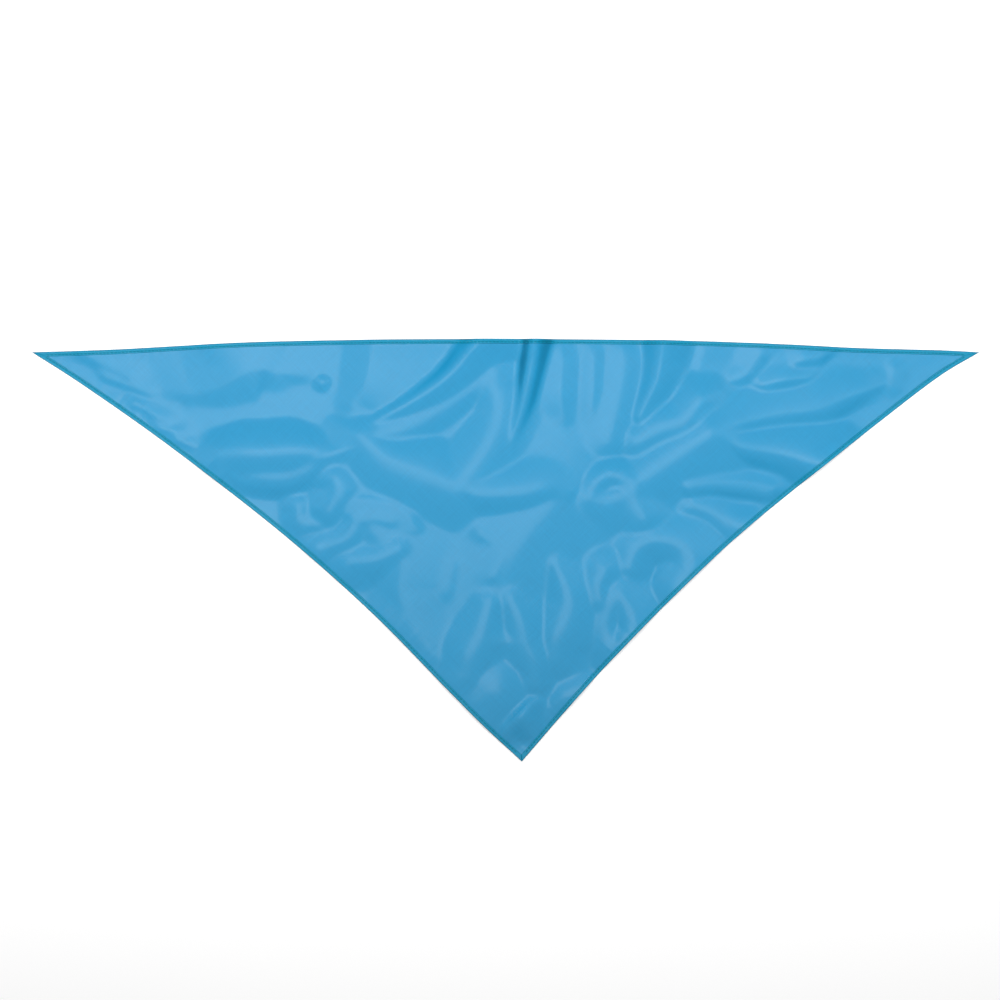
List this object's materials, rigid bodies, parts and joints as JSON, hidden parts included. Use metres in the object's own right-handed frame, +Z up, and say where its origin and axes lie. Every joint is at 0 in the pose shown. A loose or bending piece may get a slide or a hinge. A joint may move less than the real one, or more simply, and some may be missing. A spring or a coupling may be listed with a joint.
{
  "type": "neckerchief",
  "caption": "Plain triangular satin neckerchief with narrow stitched hems, lying flat and lightly creased.",
  "frame": {"origin": "on the surface that the cloth lies on, under the middle of its outline's box", "axes": "+X along the long edge, +Y from the point towards the long edge, +Z up from the surface"},
  "size_m": [0.9988, 0.4458, 0.0139],
  "materials": {
    "satin": "sky blue polyester satin with a soft sheen and a fine weave along the short sides",
    "hem": "the same satin, turned twice and sewn with blue-green thread"
  },
  "bodies": {
    "root": {"cloth": "satin", "long_edge_hem": "hem", "left_edge_hem": "hem", "right_edge_hem": "hem"}
  },
  "joints": []
}
